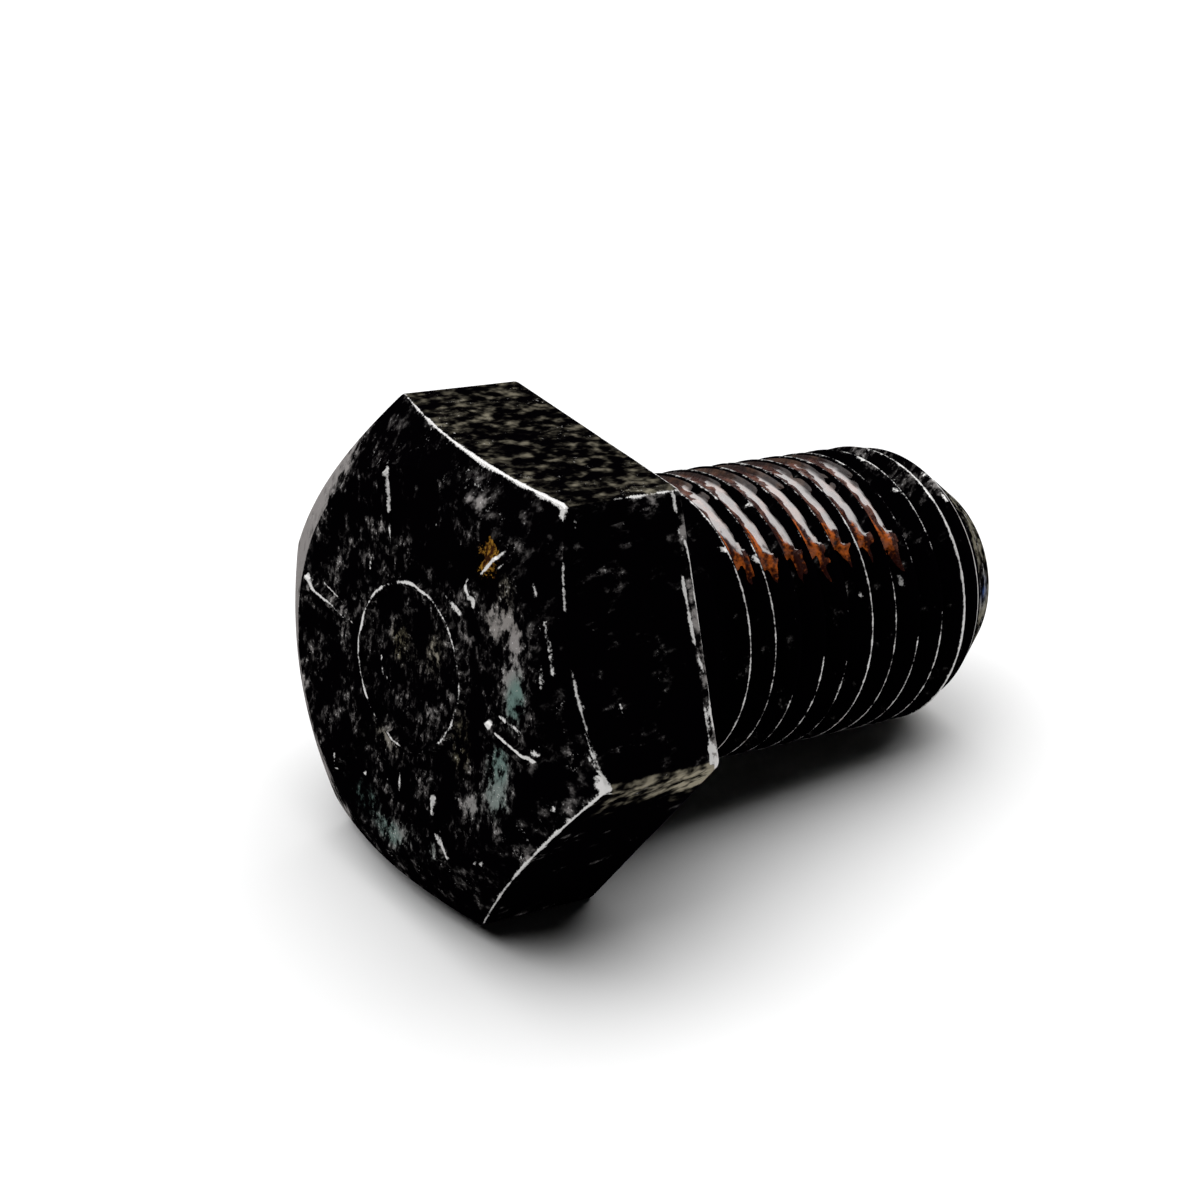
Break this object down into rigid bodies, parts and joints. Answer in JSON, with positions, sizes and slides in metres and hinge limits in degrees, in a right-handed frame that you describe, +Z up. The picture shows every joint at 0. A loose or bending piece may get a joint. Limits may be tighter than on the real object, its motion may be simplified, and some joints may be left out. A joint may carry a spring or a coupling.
{
  "type": "patch lock bolt",
  "caption": "Fine-thread hex head cap screw with chamfered head, raised grade marks, tapered point and a locking film dried in its thread, lying at rest.",
  "frame": {"origin": "middle of the bounding box on the ground plane the screw lies on", "axes": "+Z up; +X along the screw from head to tip, seen from above; +Y to the left looking along +X"},
  "size_m": [0.0232, 0.0166, 0.0149],
  "materials": {
    "black_steel": "black oxide on high-strength steel, rubbed to bright metal along edges, crests and raised marks",
    "locking_film": "dried translucent orange-brown polymer film, glossy"
  },
  "bodies": {
    "root": {"bolt": "black_steel", "lock_patch": "locking_film"}
  },
  "joints": []
}
